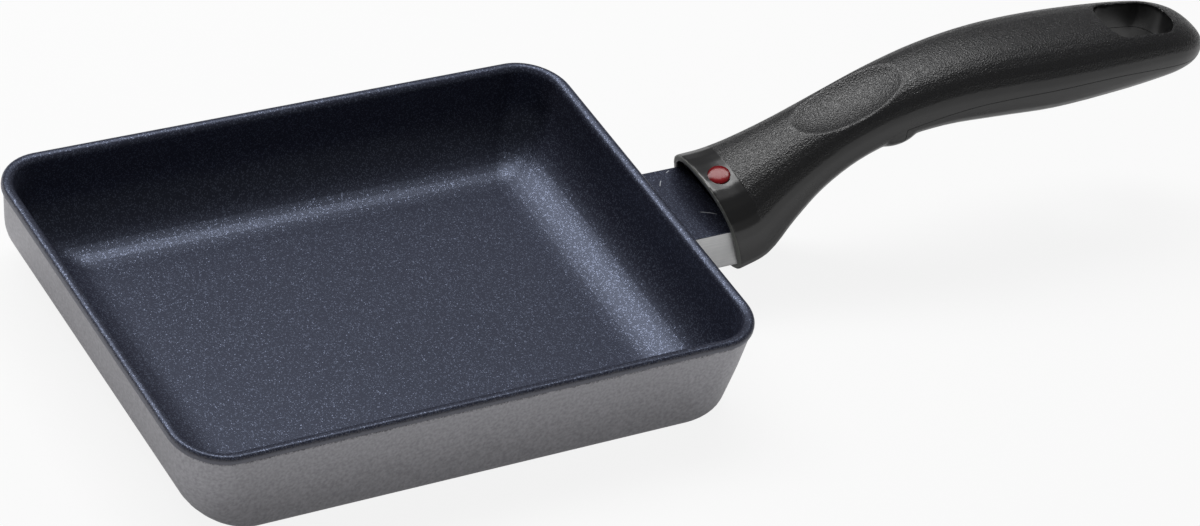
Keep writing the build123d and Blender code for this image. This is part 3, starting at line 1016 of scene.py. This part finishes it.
def redMaterial():
    # dyed ABS, moulded and glossy: clear red, deeper toward the disc's edge
    material, shader = newMaterial("redMouldedAbs")
    place = addNode(material, "ShaderNodeTexCoord")
    fromCentre = addNode(material, "ShaderNodeVectorMath", {0: place.outputs["Object"]},
                         {1: Vector(badge["place"]) * mm}, operation="DISTANCE")
    edge = addNode(material, "ShaderNodeMapRange", {"Value": fromCentre.outputs["Value"]},
                   {"From Min": redAbs["edgeFrom"] * mm, "From Max": redAbs["edgeTo"] * mm})
    color = addNode(material, "ShaderNodeMix", {"Factor": edge.outputs[0]},
                    {6: linear(redAbs["middle"]), 7: linear(redAbs["edge"])}, data_type="RGBA")
    ripple = addNode(material, "ShaderNodeTexNoise", {"Vector": place.outputs["Object"]},
                     {"Scale": redAbs["ripplesPerMm"] / mm})
    smooth, dull = redAbs["roughness"]
    rough = addNode(material, "ShaderNodeMapRange", {"Value": ripple.outputs["Fac"]},
                    {"To Min": smooth, "To Max": dull})
    shader.inputs["Specular IOR Level"].default_value = redAbs["specular"]
    feed(material, shader, {"Base Color": color.outputs[2], "Roughness": rough.outputs[0]})
    return material


def dress(piece, material, slot, *nodes):
    piece.data.materials.clear()
    piece.data.materials.append(material)
    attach(piece, "root")
    if nodes:
        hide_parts(*nodes)


def redress(node, material):
    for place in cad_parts[node].material_slots:
        place.material = material


# the pieces, in order
casting = makeCasting()
print("casting", len(casting.data.polygons))
lugTop = lug["top"] - lug["film"]
cutWith(casting, makeLugBlock("lugBlock", lugTop, lug["top"] - lug["thickness"], lug["edge"]), "UNION")
smoothShade(casting, tray["smooth"])
coating = makeCoating()
useModifier(coating, "SOLIDIFY", thickness=tray["coating"] * mm, offset=-1)
smoothShade(coating, tray["smooth"])
film = makeLugBlock("lugFilm", lug["top"], lugTop, 0)
smoothShade(film, tray["smooth"])
paint = makePaint()
useModifier(paint, "SOLIDIFY", thickness=tray["paint"] * mm, offset=-1)
smoothShade(paint, tray["smooth"])
print("tray pieces made")
shell, cover = makeHandle()
disc = makeBadge()

phenolic = phenolicMaterial()
steel = steelMaterial()
dress(casting, aluminiumMaterial(), "cast_aluminium", "pan_body")
dress(coating, nonstickMaterial("sprayedPtfe", dustedAndLitColor), "nonstick_coating", "nonstick_coating")
dress(film, nonstickMaterial("sprayedPtfeScratched", scratchedColor), "nonstick_coating")
dress(paint, paintMaterial(), "outer_paint", "outer_coating")
dress(shell, phenolic, "black_phenolic", "handle_shell")
dress(cover, phenolic, "black_phenolic", "under_cover")
dress(disc, redMaterial(), "badge_plastic", "badge")
for node in ("handle_screw", "flat_washer", "spring_washer", "cover_screw"):
    redress(node, steel)
print("materials set")


# stands where the photograph was taken from
cameraSetup = {
    "position": (-573.2, -787.9, 809.8),
    "azimuth": -39.477,
    "elevation": 38.212,
    "roll": 14.731,
    "lens": 137.69,
    "sensor": 36.0,
}


def makeCamera(setup):
    data = bpy.data.cameras.new("photoCamera")
    data.lens = setup["lens"]
    data.sensor_width = setup["sensor"]
    data.clip_start = 0.05
    data.clip_end = 20
    camera = bpy.data.objects.new("photoCamera", data)
    bpy.context.scene.collection.objects.link(camera)
    turn = Matrix.Rotation(radians(setup["azimuth"]), 4, "Z")
    tilt = Matrix.Rotation(radians(90 - setup["elevation"]), 4, "X")
    roll = Matrix.Rotation(radians(setup["roll"]), 4, "Z")
    place = Matrix.Translation(Vector(setup["position"]) * mm)
    camera.matrix_world = place @ turn @ tilt @ roll
    bpy.context.scene.camera = camera


# in metres: a pale floor, a long soft lamp above and behind the pan, and a little light all round
studio = {
    "floorSize": 6.0,
    "floorDrop": 0.0001,
    "floorColor": "#f4f4f4",
    "cameraWhite": 0.87,
    "glossWhite": 0.2,
    "lamps": {
        # name: place, size, watts, aim, turn in its own plane
        "overhead": ((0.0, 0.63, 1.1), (1.5, 0.36), 13.6, (0.05, 0.0, 0.0), -29),
    },
    "worldStrength": 0.16,
}


def makeStudio():
    bpy.ops.object.select_all(action="DESELECT")
    bpy.ops.mesh.primitive_plane_add(size=studio["floorSize"], location=(0, 0, -studio["floorDrop"]))
    floor = bpy.context.object
    floor.name = "paleFloor"
    material, shader = newMaterial("paleFloorPaper")
    shader.inputs["Base Color"].default_value = linear(studio["floorColor"])
    shader.inputs["Roughness"].default_value = 0.9
    path = addNode(material, "ShaderNodeLightPath")
    glow = addNode(material, "ShaderNodeEmission", inputs={"Color": (1, 1, 1, 1), "Strength": 1.0})
    # the floor is whitened for the camera, and a little for reflections, and keeps the shadow
    seen = addNode(material, "ShaderNodeMath", {0: path.outputs["Is Camera Ray"]},
                   {1: studio["cameraWhite"]}, operation="MULTIPLY")
    mirrored = addNode(material, "ShaderNodeMath", {0: path.outputs["Is Glossy Ray"]},
                       {1: studio["glossWhite"]}, operation="MULTIPLY")
    part = addNode(material, "ShaderNodeMath", {0: seen.outputs[0], 1: mirrored.outputs[0]},
                   operation="ADD")
    mixed = addNode(material, "ShaderNodeMixShader",
                    {0: part.outputs[0], 1: shader.outputs[0], 2: glow.outputs[0]})
    feed(material, material.node_tree.nodes["Material Output"], {"Surface": mixed.outputs[0]})
    floor.data.materials.append(material)
    for name, (place, size, watts, aim, turn) in studio["lamps"].items():
        data = bpy.data.lights.new(name, "AREA")
        data.shape = "RECTANGLE"
        data.size, data.size_y = size
        data.energy = watts
        lamp = bpy.data.objects.new(name, data)
        bpy.context.scene.collection.objects.link(lamp)
        facing = (Vector(aim) - Vector(place)).to_track_quat("-Z", "Y").to_matrix().to_4x4()
        lamp.matrix_world = Matrix.Translation(place) @ facing @ Matrix.Rotation(radians(turn), 4, "Z")
    world = bpy.data.worlds.new("paleStudio")
    bpy.context.scene.world = world
    world.use_nodes = True
    light = world.node_tree.nodes["Background"]
    light.inputs["Color"].default_value = (1, 1, 1, 1)
    light.inputs["Strength"].default_value = studio["worldStrength"]


makeCamera(cameraSetup)
makeStudio()
bpy.context.scene.view_settings.view_transform = "Standard"
print("camera and light placed")
